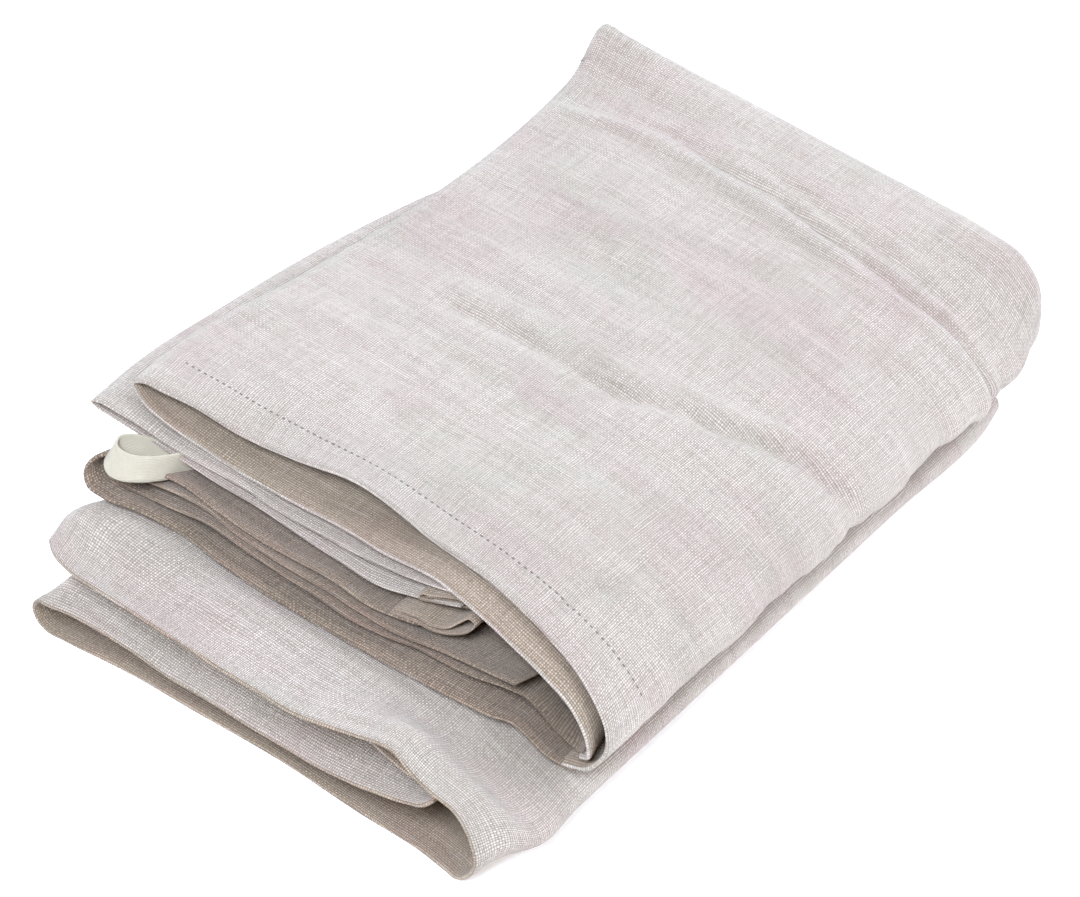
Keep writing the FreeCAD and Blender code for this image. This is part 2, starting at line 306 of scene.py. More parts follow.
def thread_places(nodes, pitch):
    """The two coordinates on the flat cloth counted in threads, with the threads wandering a little."""
    uv = nodes.add("ShaderNodeUVMap", uv_map="weave")
    split = nodes.add("ShaderNodeSeparateXYZ")
    nodes.put(uv.outputs[0], split.inputs[0])
    warp = nodes.math("MULTIPLY", split.outputs[0], 1 / pitch)
    weft = nodes.math("MULTIPLY", split.outputs[1], 1 / pitch)
    sway_warp = nodes.noise(nodes.combine(warp, nodes.math("MULTIPLY", weft, 0.35)), 0.11, 1.0)
    sway_weft = nodes.noise(nodes.combine(nodes.math("MULTIPLY", warp, 0.35), weft, 7.0), 0.11, 1.0)
    warp = nodes.math("ADD", warp, nodes.remap(sway_warp, 0.0, 1.0, -1.1, 1.1))
    weft = nodes.math("ADD", weft, nodes.remap(sway_weft, 0.0, 1.0, -1.1, 1.1))
    return warp, weft


def linen_material(name, light=(0.76, 0.645, 0.545, 1), dark=(0.45, 0.355, 0.28, 1)):
    """Plain-woven natural linen: pillow-shaped crossings, uneven threads, slubs and patches of colour."""
    nodes = Nodes(name)
    warp, weft = thread_places(nodes, THREAD_PITCH)
    warp_wave = nodes.math("SINE", nodes.math("MULTIPLY", warp, math.pi))
    weft_wave = nodes.math("SINE", nodes.math("MULTIPLY", weft, math.pi))
    warp_round = nodes.math("ABSOLUTE", warp_wave)
    weft_round = nodes.math("ABSOLUTE", weft_wave)
    warp_on_top = nodes.math("GREATER_THAN", nodes.math("MULTIPLY", warp_wave, weft_wave), 0.0)
    pillow = nodes.math("MULTIPLY", warp_round, weft_round)
    warp_lie = nodes.math("MULTIPLY", pillow, nodes.remap(warp_round, 0.0, 1.0, 0.7, 1.0))
    weft_lie = nodes.math("MULTIPLY", pillow, nodes.remap(weft_round, 0.0, 1.0, 0.7, 1.0))
    height = nodes.add("ShaderNodeMix", data_type="FLOAT")
    nodes.put(warp_on_top, height.inputs["Factor"])
    nodes.put(weft_lie, height.inputs["A"])
    nodes.put(warp_lie, height.inputs["B"])
    height = nodes.math("POWER", height.outputs["Result"], 0.7)

    # every thread has a tone of its own that changes slowly along it
    warp_tone = nodes.noise(nodes.combine(warp, nodes.math("MULTIPLY", weft, 0.03)), 0.9, 2.0, 0.7)
    weft_tone = nodes.noise(nodes.combine(nodes.math("MULTIPLY", warp, 0.03), weft, 3.0), 0.9, 2.0, 0.7)
    tone = nodes.add("ShaderNodeMix", data_type="FLOAT")
    nodes.put(warp_on_top, tone.inputs["Factor"])
    nodes.put(weft_tone, tone.inputs["A"])
    nodes.put(warp_tone, tone.inputs["B"])
    tone = nodes.remap(tone.outputs["Result"], 0.30, 0.68, 0.0, 1.0)
    fleck = nodes.noise(nodes.combine(warp, weft, 11.0), 0.55, 3.0, 0.75)
    tone = nodes.math("ADD", tone, nodes.remap(fleck, 0.3, 0.7, -0.42, 0.42))
    tone = nodes.math("ADD", tone, nodes.remap(warp_on_top, 0.0, 1.0, -0.10, 0.10))
    yarn = nodes.mix(nodes.remap(tone, 0.0, 1.0), dark, light)

    # broad patches, some rosier and some greener
    across = nodes.math("MULTIPLY", warp, 0.45)
    patch_rose = nodes.noise(nodes.combine(across, weft, 5.0), 0.026, 3.0, 0.6)
    patch_green = nodes.noise(nodes.combine(across, weft, 23.0), 0.034, 3.0, 0.6)
    yarn = nodes.mix(nodes.remap(patch_rose, 0.47, 0.66, 0.0, 1.0), yarn, (0.95, 0.87, 0.90, 1), "MULTIPLY")
    yarn = nodes.mix(nodes.remap(patch_green, 0.47, 0.66, 0.0, 1.0), yarn, (0.90, 0.93, 0.90, 1), "MULTIPLY")

    # slubs: a few thick pale threads, and a few dark flecks
    slub = nodes.noise(nodes.combine(nodes.math("MULTIPLY", warp, 0.06), weft, 31.0), 0.8, 1.0)
    slub = nodes.remap(slub, 0.66, 0.76)
    yarn = nodes.mix(nodes.math("MULTIPLY", slub, 0.3), yarn, (0.80, 0.73, 0.67, 1))
    speck = nodes.noise(nodes.combine(nodes.math("MULTIPLY", warp, 0.45), weft, 47.0), 0.6, 1.0)
    speck = nodes.remap(speck, 0.71, 0.77)
    yarn = nodes.mix(nodes.math("MULTIPLY", speck, 0.4), yarn, (0.30, 0.24, 0.19, 1))

    # painted shade: the hollows of the weave between the threads are darkened towards a deep tone of the yarn
    gap = [0.45 * channel for channel in dark[:3]] + [1]
    shaded = nodes.mix(nodes.remap(height, 0.0, 0.85, 0.9, 0.0), yarn, gap)
    nodes.put(shaded, nodes.shader.inputs["Base Color"])

    crumple = nodes.noise(nodes.combine(warp, nodes.math("MULTIPLY", weft, 2.2), 61.0), 0.07, 3.0, 0.55)
    normal = nodes.bump(crumple, 0.5, 0.0012)
    lift = nodes.math("ADD", height, nodes.math("MULTIPLY", slub, 0.5))
    normal = nodes.bump(lift, 0.9, 0.0003, normal)
    nodes.put(normal, nodes.shader.inputs["Normal"])
    nodes.put(nodes.remap(height, 0.0, 1.0, 0.95, 0.78), nodes.shader.inputs["Roughness"])
    nodes.shader.inputs["Specular IOR Level"].default_value = 0.25
    nodes.shader.inputs["Sheen Weight"].default_value = 0.18
    nodes.shader.inputs["Sheen Roughness"].default_value = 0.6
    nodes.shader.inputs["Sheen Tint"].default_value = (1.0, 0.97, 0.95, 1)
    return nodes.material


def tape_material():
    """Cream cotton twill tape with fine ribs along its length."""
    nodes = Nodes("cotton_tape")
    warp, weft = thread_places(nodes, TAPE_THREAD_PITCH)
    rib = nodes.math("ABSOLUTE", nodes.math("SINE", nodes.math("MULTIPLY", warp, math.pi)))
    twill = nodes.math("ADD", nodes.math("MULTIPLY", warp, 0.5), weft)
    twill = nodes.math("ABSOLUTE", nodes.math("SINE", nodes.math("MULTIPLY", twill, math.pi)))
    height = nodes.math("ADD", nodes.math("MULTIPLY", rib, 0.7), nodes.math("MULTIPLY", twill, 0.3))
    wear = nodes.noise(nodes.combine(warp, weft, 3.0), 0.2, 3.0, 0.6)
    colour = nodes.mix(wear, (0.50, 0.42, 0.305, 1), (0.60, 0.52, 0.39, 1))
    # painted shade: the hollows between the ribs are darkened
    colour = nodes.mix(nodes.remap(height, 0.1, 0.8, 0.35, 0.0), colour, (0.50, 0.45, 0.34, 1))
    nodes.put(colour, nodes.shader.inputs["Base Color"])
    nodes.put(nodes.bump(height, 0.8, 0.0003), nodes.shader.inputs["Normal"])
    nodes.put(nodes.remap(height, 0.0, 1.0, 0.9, 0.7), nodes.shader.inputs["Roughness"])
    nodes.shader.inputs["Sheen Weight"].default_value = 0.15
    return nodes.material


def thread_material():
    """Grey-brown sewing thread, with painted shade between its twists."""
    nodes = Nodes("stitching_thread")
    place = nodes.add("ShaderNodeTexCoord").outputs["Object"]
    twist = nodes.noise(place, 2600.0, 2.0, 0.6)
    nodes.put(
        nodes.mix(nodes.remap(twist, 0.3, 0.7), (0.11, 0.09, 0.075, 1), (0.24, 0.20, 0.17, 1)),
        nodes.shader.inputs["Base Color"],
    )
    nodes.put(nodes.bump(twist, 0.5, 0.0001), nodes.shader.inputs["Normal"])
    nodes.put(nodes.remap(twist, 0.0, 1.0, 0.6, 0.9), nodes.shader.inputs["Roughness"])
    return nodes.material


def floor_material():
    """Plain near-white paper with a very faint grain."""
    nodes = Nodes("studio_paper")
    place = nodes.add("ShaderNodeTexCoord").outputs["Object"]
    grain = nodes.noise(place, 40.0, 3.0, 0.6)
    nodes.put(
        nodes.mix(grain, (0.985, 0.985, 0.985, 1), (1.0, 1.0, 1.0, 1)),
        nodes.shader.inputs["Base Color"],
    )
    nodes.shader.inputs["Roughness"].default_value = 0.95
    nodes.shader.inputs["Specular IOR Level"].default_value = 0.0
    nodes.shader.inputs["Emission Color"].default_value = (1.0, 0.93, 0.84, 1)
    nodes.shader.inputs["Emission Strength"].default_value = FLOOR_GLOW
    return nodes.material


# ======== the camera, lights and floor ========

FLOOR_GLOW = 0.28
WORLD_COLOUR = (1.0, 0.7, 0.4, 1)  # warm, as light is that has bounced between folds of linen
WORLD_STRENGTH = 0.12
LIGHT_COLOUR = (0.85, 0.99, 1.20)  # cool daylight
LIGHT_SIZE = 1.2
LIGHT_TARGET = (0, 0, 0.04)
FLOOR_SIZE = 8
STUDIO_LIGHTS = [
    ("back_right", (1.35, 1.35, 0.9), 35.0),
    ("top_back", (0.0, 1.2, 1.9), 20.0),
    ("back_left", (-1.35, 1.35, 0.9), 31.0),
    ("front_left", (-1.2, -1.35, 1.0), 14.0),
    ("front_high", (0.3, -1.2, 1.8), 54.0),
    ("right_low", (2.0, 0.0, 0.25), 10.0),
]


def aim(item, target):
    direction = Vector(target) - item.location
    item.rotation_euler = direction.to_track_quat("-Z", "Y").to_euler()


def add_camera():
    camera = bpy.data.objects.new("camera", bpy.data.cameras.new("camera"))
    camera.data.lens = LENS
    camera.data.sensor_width = SENSOR
    camera.data.sensor_fit = "HORIZONTAL"
    camera.data.clip_end = VIEW_DEPTH
    back = Vector(
        (
            math.sin(AZIMUTH) * math.cos(ELEVATION),
            -math.cos(AZIMUTH) * math.cos(ELEVATION),
            math.sin(ELEVATION),
        )
    )
    camera.location = Vector(TARGET) + back * DISTANCE
    aim(camera, TARGET)
    bpy.context.scene.collection.objects.link(camera)
    bpy.context.scene.camera = camera


def add_light(name, place, size, power, colour):
    lamp = bpy.data.lights.new(name, "AREA")
    lamp.shape = "DISK"
    lamp.size = size
    lamp.energy = power
    lamp.color = colour
    light = bpy.data.objects.new(name, lamp)
    light.location = place
    aim(light, LIGHT_TARGET)
    bpy.context.scene.collection.objects.link(light)


def add_studio():
    world = bpy.data.worlds.new("studio")
    world.use_nodes = True
    background = world.node_tree.nodes["Background"]
    background.inputs["Color"].default_value = WORLD_COLOUR
    background.inputs["Strength"].default_value = WORLD_STRENGTH
    bpy.context.scene.world = world
    bpy.context.scene.view_settings.view_transform = "Standard"
    for name, place, power in STUDIO_LIGHTS:
        add_light(name, place, LIGHT_SIZE, power, LIGHT_COLOUR)
    bpy.ops.mesh.primitive_plane_add(size=FLOOR_SIZE, location=(0, 0, 0))
    floor = bpy.context.object
    floor.name = "studio_floor"
    floor.data.materials.append(floor_material())


# ======== the upper half's front cloth and lining ========

# from the underside of the lining's right fold, up and left over the lining, round the left edge,
# then right over the front cloth and round its right fold
MOUTH_NEAR = [
    (137, -143.5, 35.5),
    (142, -144.5, 40),
    (140.5, -143.5, 47.5),
    (131.5, -141, 57),
    (113, -139, 66),
    (92, -137, 71.5),
    (72, -135, 75.5),
    (50, -133, 77.5),
    (18, -134, 76),
    (-9, -133, 75),
    (-38, -134, 73.5),
    (-66, -134, 73),
    (-92, -134, 74.5),
    (-112, -135, 77.5),
    (-124, -134, 80.5),
    (-131, -132, 83),
    (-134, -131, 85.3),
    (-130, -130, 87.5),
    (-118, -128, 87),
    (-103, -125, 85.5),
    (-74, -123, 82.5),
    (-44, -120, 83.5),
    (-8, -117, 87.5),
    (33, -119, 82.5),
    (66, -120, 79),
    (101, -124, 73),
    (130, -130, 62),
    (145, -136, 50),
    (147.5, -140, 42),
    (143, -145, 34),
    (130, -148, 30.5),
]
# the same run behind the near end, as (x, z)
MOUTH_INSIDE = [
    (124, 35),
    (130, 39),
    (131, 46),
    (124, 55),
    (108, 63.5),
    (90, 70),
    (70, 74.5),
    (50, 76),
    (18, 76),
    (-9, 76),
    (-38, 76),
    (-66, 76),
    (-90, 76.5),
    (-107, 77.5),
    (-117, 79.5),
    (-124, 82),
    (-127, 84.2),
    (-123, 86.4),
    (-113, 86.6),
    (-98, 86.6),
    (-74, 86.8),
    (-44, 87),
    (-8, 87),
    (33, 85.5),
    (68, 82),
    (101, 74.5),
    (128, 62.5),
    (143, 50),
    (147, 41),
    (143, 32.5),
    (130, 29.5),
]
# the crest of the cross fold
MOUTH_CREST = [
    (118, 188, 40),
    (128, 190, 43),
    (129, 194, 50),
    (124, 198, 60),
    (108, 201, 68),
    (90, 203, 73),
    (70, 204, 75),
    (50, 204, 76),
    (18, 204, 77),
    (-9, 204, 78),
    (-38, 204, 79),
    (-66, 204, 81),
    (-90, 204, 83),
    (-108, 204, 85),
    (-120, 205, 88),
    (-129, 206, 91),
    (-133, 207, 93),
    (-131, 208, 95.5),
    (-120, 209, 94),
    (-102, 210, 91.5),
    (-74, 211, 88.8),
    (-44, 211.5, 87),
    (-8, 211.5, 85),
    (33, 211.5, 83),
    (68, 211, 82),
    (101, 210, 80.5),
    (124, 208, 76),
    (137, 203, 65),
    (141, 198, 53),
    (139, 192, 43),
    (128, 188, 38),
]
LEFT_TIP = 16  # the column where the lining turns into the front cloth
LEFT_EDGE_Y = (-131, -88, -34, 11, 57, 105, 150, 176, 207)
LEFT_EDGE_X = (-134, -137, -128, -124, -118, -117, -122, -126, -133)
CREASE_NEAR = [(-150, -10), (-117, -2), (-50, -1), (-1, 2), (44, 4), (86, 18), (119, 34), (150, 40)]
CREASE_FAR = [(-150, 150), (-124, 152), (-78, 164), (-27, 161), (24, 157), (70, 152), (111, 153), (150, 151)]
STITCH_INSET = 22.0  # from the hem's edge to the row of stitches
STITCH_PITCH = 3.6
STITCH_LENGTH = 2.5
STITCH_RADIUS = 0.55
STITCH_SINK = 0.35  # how deep a stitch's ends go into the cloth
GROOVE_DEPTH = 0.8
GROOVE_WIDTH = 1.6
STITCH_START = 6  # columns of the cloth's mesh from the left edge to the first stitch
STITCH_STOP = 16  # columns from the last stitch to the end of the right fold


def mouth_section(y, drop=0.0):
    """The run of front cloth and lining at one Y, its left edge moved to where it lies there."""
    tip = MOUTH_INSIDE[LEFT_TIP][0]
    edge = float(np.interp(y, LEFT_EDGE_Y, LEFT_EDGE_X))
    section = []
    for x, z in MOUTH_INSIDE:
        share = float(ramp(np.array(x), -40.0, tip))
        section.append((x + (edge - tip) * share, y, z + drop))
    return section


def over_the_crest(section, run, fall):
    """The section a little further over the far end, drawn in and down."""
    return [(x - 0.5 * run * ramp(np.array(x), 90.0, 140.0), y + run, z - fall) for x, y, z in section]


def build_mouth_cloth(material, painted_shade_material):
    sections = [
        MOUTH_NEAR,
        mouth_section(-95, 1.2),
        mouth_section(-30),
        mouth_section(70, 0.3),
        mouth_section(140),
        mouth_section(175, 1.0),
        MOUTH_CREST,
        over_the_crest(MOUTH_CREST, 3.0, 9.0),
    ]
    grid = loft(sections)
    grid = grid + normals_of(grid) * mouth_relief(grid)[:, :, None]
    # the underside of the front cloth and lining takes the linen with painted shade
    piece = shell("mouth_cloth", grid, hem_thickness(grid), material, painted_shade_material)
    return piece, grid


def mouth_relief(grid):
    """Creases, ripples and the hem's stitch line, as heights along the cloth's outward normal."""
    across = running_length(grid)
    along = running_length(grid.transpose(1, 0, 2))
    turn = int(np.argmin(grid[len(grid) // 2, :, 0]))
    front = ramp(across, across[turn], across[turn] + 25)[None, :]
    y = grid[:, :, 1]
    x = grid[:, :, 0]
    relief = cloud(grid, 130, 30, 2.0) * 2.6 + cloud(grid, 60, 11, 9.0) * 1.1 + cloud(grid, 30, 6, 5.0) * 0.35
    relief = relief * ramp(y, -125, -70) * ramp(y, 205, 170)
    near_line = distance_to_line(grid, CREASE_NEAR)
    wobble = cloud(grid, 40, 40, 17.0) * 4
    patchy = 0.25 + 0.75 * ramp(cloud(grid, 45, 60, 27.0), -0.25, 0.25)
    relief += -3.4 * bell(near_line + wobble, 4.0) * ramp(x, -125, -60) * patchy
    relief += 2.6 * bell(near_line + wobble - 11, 7.0) * ramp(x, -125, -60) * patchy
    far_line = distance_to_line(grid, CREASE_FAR)
    uneven = 0.75 + 0.25 * ramp(cloud(grid, 38, 60, 33.0), -0.25, 0.25)
    relief += -4.4 * bell(far_line + wobble, 3.0) * (0.35 + 0.65 * ramp(x, -90, 0)) * uneven
    relief += 2.8 * bell(far_line + wobble + 8, 5.0) * uneven
    relief += -2.4 * bell(far_line + wobble * 0.2 - 11, 3.0) * ramp(x, -50, 20) * patchy
    relief -= GROOVE_DEPTH * bell(along - STITCH_INSET, GROOVE_WIDTH)[:, None]
    fold_line = x - 96 - (y + 125) * 0.25 + wobble * 0.4
    relief += -1.4 * bell(fold_line, 3.0) * ramp(y, -128, -110) * ramp(y, -40, -80)
    return relief * front


def build_stitches(grid, first, last, name, material):
    """A row of short stitches sunk in the hem, from one column of the cloth's grid to another."""
    along = running_length(grid.transpose(1, 0, 2))
    row = int(np.argmin(abs(along - STITCH_INSET)))
    normals = normals_of(grid)
    line = grid[row, first:last] + normals[row, first:last] * (HEM / 2 - 0.05)
    lift = normals[row, first:last]
    length = np.concatenate([[0.0], np.cumsum(np.linalg.norm(np.diff(line, axis=0), axis=1))])
    vertices = []
    faces = []
    places = []
    sides = 6
    rings = 5
    for number in range(int(length[-1] / STITCH_PITCH)):
        start = number * STITCH_PITCH
        base = len(vertices)
        for ring in range(rings):
            share = ring / (rings - 1)
            place = start + STITCH_LENGTH * share
            centre = np.array([np.interp(place, length, line[:, k]) for k in range(3)])
            ahead = np.array([np.interp(place + 0.5, length, line[:, k]) for k in range(3)]) - centre
            up = np.array([np.interp(place, length, lift[:, k]) for k in range(3)])
            side = np.cross(ahead, up)
            side = side / np.linalg.norm(side)
            thick = STITCH_RADIUS * (0.35 + 0.65 * math.sin(math.pi * share))
            sink = STITCH_SINK * (1 - math.sin(math.pi * share))
            for k in range(sides):
                angle = 2 * math.pi * k / sides
                offset = side * math.cos(angle) + up * math.sin(angle)
                vertices.append(centre + offset * thick - up * sink)
                places.append((place, k))
        for ring in range(rings - 1):
            for k in range(sides):
                a = base + ring * sides + k
                b = base + ring * sides + (k + 1) % sides
                faces.append([a, b, b + sides, a + sides])
        faces.append([base + k for k in range(sides - 1, -1, -1)])
        faces.append([base + (rings - 1) * sides + k for k in range(sides)])
    return make_mesh(name, vertices, faces, places, material)


# ======== the upper half's lower leg ========

# from the upper ply's right end, left to the fold, then right along the cloth that lies on the lower half
UNDER_NEAR = [
    (49, -146, 60.5),
    (27, -150, 60),
    (0, -149.5, 61),
    (-31, -151, 60.6),
    (-60, -151, 61.8),
    (-90, -149.5, 63.4),
    (-109, -152.5, 63.4),
    (-122, -156, 64.6),
    (-129, -161, 64.5),
    (-131.5, -167, 60),
    (-127, -171, 56),
    (-117, -171, 53.5),
    (-101, -167, 52),
    (-78, -163, 50.5),
    (-51, -165, 49.5),
    (-17, -166, 49.5),
    (20, -165, 49.5),
    (56, -163, 49.5),
    (83, -160, 48),
    (97, -156.5, 45.5),
    (107, -151, 42),
    (115, -150, 37),
    (123, -150, 33),
    (131, -148, 30.5),
    (137, -147, 31),
]
UNDER_INSIDE = [
    (45, 58.6),
    (27, 58.6),
    (0, 58.6),
    (-31, 58.6),
    (-60, 58.8),
    (-88, 59.2),
    (-105, 60),
    (-117, 60.5),
    (-124, 59),
    (-126.5, 55),
    (-123, 51),
    (-114, 49.2),
    (-99, 48.6),
    (-78, 48.5),
    (-51, 48.5),
    (-17, 48.5),
    (20, 48.5),
    (56, 48.5),
    (80, 47.5),
    (95, 44.5),
    (106, 40.5),
    (114, 36.5),
    (122, 33),
    (130, 30),
    (136, 30.5),
]
LINING_LEG_NEAR = [
    (-122, -161.5, 54),
    (-104, -159.5, 54.4),
    (-84, -158, 56),
    (-66, -157, 58),
    (-48, -157.5, 57.6),
    (-26, -158, 56.4),
    (0, -158, 56),
    (21, -158, 54.6),
    (41, -155, 53.8),
    (54, -152, 53.6),
    (66, -151, 53.4),
    (83, -149, 53.2),
    (98, -144.5, 52.4),
    (107, -142, 50),
    (115, -142, 46),
    (125, -142, 40.5),
    (134, -142, 36.8),
    (138, -143, 38.5),
]
LINING_LEG_INSIDE = [
    (-118, 52),
    (-103, 52),
    (-84, 52),
    (-66, 52),
    (-48, 52),
    (-26, 52),
    (0, 52),
    (21, 52),
    (41, 52),
    (54, 52),
    (66, 52),
    (82, 51.5),
    (96, 50),
    (105, 47),
    (112, 43),
    (119, 38.5),
    (124, 35),
    (129, 36.5),
]
PLY_NEAR = [
    (-121, -157.5, 58.6),
    (-104, -155, 59.2),
    (-86, -153.5, 61.2),
    (-68, -153, 61.4),
    (-53, -154, 59.4),
    (-35, -155, 59),
    (-14, -155, 59),
    (6, -154, 58),
    (22, -154, 57.2),
    (45, -153, 56.8),
    (65, -149.5, 57.4),
    (85, -147.5, 58.4),
    (103, -146, 59.6),
]
PLY_INSIDE_Z = 55.2


def build_under_cloth(material):
    sections = [
        UNDER_NEAR,
        at_depth(-120, UNDER_INSIDE),
        at_depth(0, UNDER_INSIDE),
        at_depth(140, UNDER_INSIDE),
        at_depth(196, UNDER_INSIDE),
    ]
    grid = loft(sections)
    return shell("under_cloth", grid, hem_thickness(grid, 6.0), material)


def build_lining_leg(material):
    sections = [
        LINING_LEG_NEAR,
        at_depth(-115, LINING_LEG_INSIDE),
        at_depth(40, LINING_LEG_INSIDE),
        at_depth(190, LINING_LEG_INSIDE),
    ]
    return shell("lining_leg", loft(sections), CLOTH, material)


def build_inner_ply(material):
    """The ply inside the lower leg; its right end is the square corner in the hollow of the fold."""
    inside = [(x + 2, PLY_INSIDE_Z) for x, y, z in PLY_NEAR]
    sections = [PLY_NEAR, at_depth(-128, inside), at_depth(0, inside), at_depth(180, inside)]
    return shell("inner_ply", loft(sections), CLOTH * 1.3, material)


# ======== leaves tucked inside ========

TUCKED_NEAR = [
    (62, -133, 69.5),
    (42, -139, 67.5),
    (25, -142.5, 65.8),
    (0, -142, 65.3),
    (-22, -141.5, 65.5),
    (-48, -140.5, 66.3),
    (-75, -141.5, 67.3),
    (-100, -142, 69.3),
    (-120, -143.5, 71.5),
    (-134, -145, 73.8),
    (-143, -146.5, 76.4),
    (-145.5, -147, 78.6),
    (-142, -146.5, 80),
    (-131, -145, 79),
    (-118, -143, 75.8),
    (-104, -141.5, 72.3),
    (-90, -140, 70.8),
    (-62, -138.5, 70.2),
    (-34, -139, 69.6),
    (-8, -138, 69.8),
    (11, -138, 71.2),
    (38, -135.5, 73),
    (60, -131, 74.4),
    (76, -126, 75),
]
TUCKED_LOW_Z = 68.5
TUCKED_HIGH_Z = 71.5
TUCKED_RISE = 4.5  # the left edge lies this much higher
TUCKED_TIP = 11  # the column where the leaf turns back over itself
TUCKED_LEFT_Y = (-147, -121, -84, -41, 40, 71, 110)
TUCKED_LEFT_X = (-146, -152, -150.5, -146.5, -137, -126, -116)
RUN_BACK = 45.0  # how far the seam's strips are drawn behind their near ends
HAIRPIN = [
    (80, -124, 73.5),
    (64, -130.5, 72.6),
    (50, -137, 71.6),
    (44.5, -139.5, 70.6),
    (44.5, -139.8, 69.2),
    (50, -137.5, 68.4),
    (64, -130.5, 68.0),
    (80, -124, 68.0),
]
HAIRPIN_CORE = [(47, -138, 70.3), (64, -130, 70.4), (80, -123.5, 70.6)]
CURL = [
    (36, -147, 62.5),
    (50, -146, 64.6),
    (57, -144.5, 63.2),
    (62, -142, 63.6),
    (66, -138, 66.6),
    (69, -135.5, 68.6),
    (72.5, -135.5, 67.4),
    (71.5, -138, 64.8),
    (65, -142.5, 62.0),
    (57, -145.5, 61.4),
    (49, -147.2, 63.0),
    (36, -148.5, 61),
]


def build_tucked_leaf(material):
    """A folded leaf between the lining and the tape, standing out past the left edge of the top."""

    def inside(y):
        tip = TUCKED_NEAR[TUCKED_TIP][0]
        edge = float(np.interp(y, TUCKED_LEFT_Y, TUCKED_LEFT_X))
        section = []
        for column, (x, near_y, near_z) in enumerate(TUCKED_NEAR):
            level = TUCKED_LOW_Z if column < TUCKED_TIP else TUCKED_HIGH_Z
            if column == TUCKED_TIP:
                level = (TUCKED_LOW_Z + TUCKED_HIGH_Z) / 2
            share = float(ramp(np.array(x), -60.0, tip))
            section.append((x + (edge - tip) * share, y, level + share * TUCKED_RISE))
        return section

    sections = [TUCKED_NEAR, inside(-112), inside(-60), inside(0), inside(60), inside(110), inside(150)]
    return shell("tucked_leaf_cloth", loft(sections), CLOTH * 1.2, material)


def build_run_back(name, outline, depth, thickness, material, step=1.2):
    """A small strip of cloth that runs straight back from an outline."""
    back = [(x, y + depth, z) for x, y, z in outline]
    half_way = [(x, y + depth / 2, z) for x, y, z in outline]
    return shell(name, loft([outline, half_way, back], step), thickness, material)


# ======== the lower half ========

BASE_NEAR = [
    (20, -192, 38),
    (55, -193, 38),
    (76, -196, 37),
    (88, -197, 36),
    (97, -196.5, 34.5),
    (101.5, -197.5, 30.5),
    (98, -200, 26.5),
    (91, -202, 24.5),
    (75, -205, 22.5),
    (50, -207, 19.5),
    (15, -208.5, 19),
    (-12, -209, 19),
    (-41, -210, 19),
    (-64, -210, 20.5),
    (-86, -211.5, 22),
    (-100, -212, 21.5),
    (-113, -213.5, 20),
    (-121.5, -213.5, 17),
    (-124, -213.5, 12),
    (-122, -213.8, 6.5),
    (-116, -213.8, 2.4),
    (-107, -212.5, 1.6),
    (-74, -208.5, 1.6),
    (-29, -206, 1.6),
    (18, -203.5, 1.6),
    (64, -204, 1.6),
    (100, -203.5, 1.6),
    (114, -205, 1.7),
    (122.5, -206.5, 3.5),
    (128, -205, 10),
    (129, -203, 17),
    (126, -202, 25),
    (121, -201, 31.5),
    (115, -201, 37),
    (106, -203, 42.5),
    (99, -204, 47),
    (93, -205, 52.5),
    (87, -205, 56.5),
    (80, -206, 57.6),
    (68, -207, 55),
    (40, -211, 50.5),
    (9, -211, 48.5),
    (-30, -211, 48),
    (-60, -210, 47),
    (-88, -208, 44),
    (-106, -205.5, 41),
    (-119, -202, 40.5),
    (-126, -197, 39.5),
    (-123, -195, 37),
    (-108, -195, 36),
    (-80, -195, 36.5),
    (-40, -194, 37.5),
    (0, -193, 38),
    (24, -192, 37.3),
]
BASE_INSIDE = [
    (20, 28),
    (55, 28),
    (74, 28.3),
    (85, 28.2),
    (93, 26.5),
    (96, 23),
    (93.5, 20),
    (86, 18),
    (72, 17.2),
    (50, 17),
    (15, 17),
    (-12, 17),
    (-41, 17),
    (-64, 17),
    (-84, 17),
    (-97, 16.8),
    (-108, 15.6),
    (-115, 13),
    (-117.5, 9),
    (-116, 5),
    (-110, 2.4),
    (-102, 1.4),
    (-74, 1.2),
    (-29, 1.2),
    (18, 1.2),
    (64, 1.2),
    (102, 1.2),
    (119, 1.5),
    (129.5, 3.2),
    (137, 8),
    (141.5, 14),
    (140.5, 20),
    (132, 25),
    (120, 29.5),
    (108, 34.5),
    (99, 38.5),
    (92, 41.5),
    (85, 43.5),
    (77, 44.8),
    (64, 45.6),
    (40, 46),
    (9, 46),
    (-30, 46),
    (-60, 46),
    (-84, 46),
    (-98, 45.6),
    (-108, 43.4),
    (-112.5, 38.5),
    (-110, 32.5),
    (-100, 29),
    (-76, 28),
    (-40, 28),
    (0, 28),
    (24, 27),
]
INNER_END = 16  # last column of the inner leaves before the left fold
TOP_START = 36  # first column of the lower half's top leaf
TOP_END = 48
SHELF_Y = -178
SHELF_Z = 32.0  # height of the inner leaves there
RISEN_Z = 38  # height that the inner leaves climb towards just behind their edges


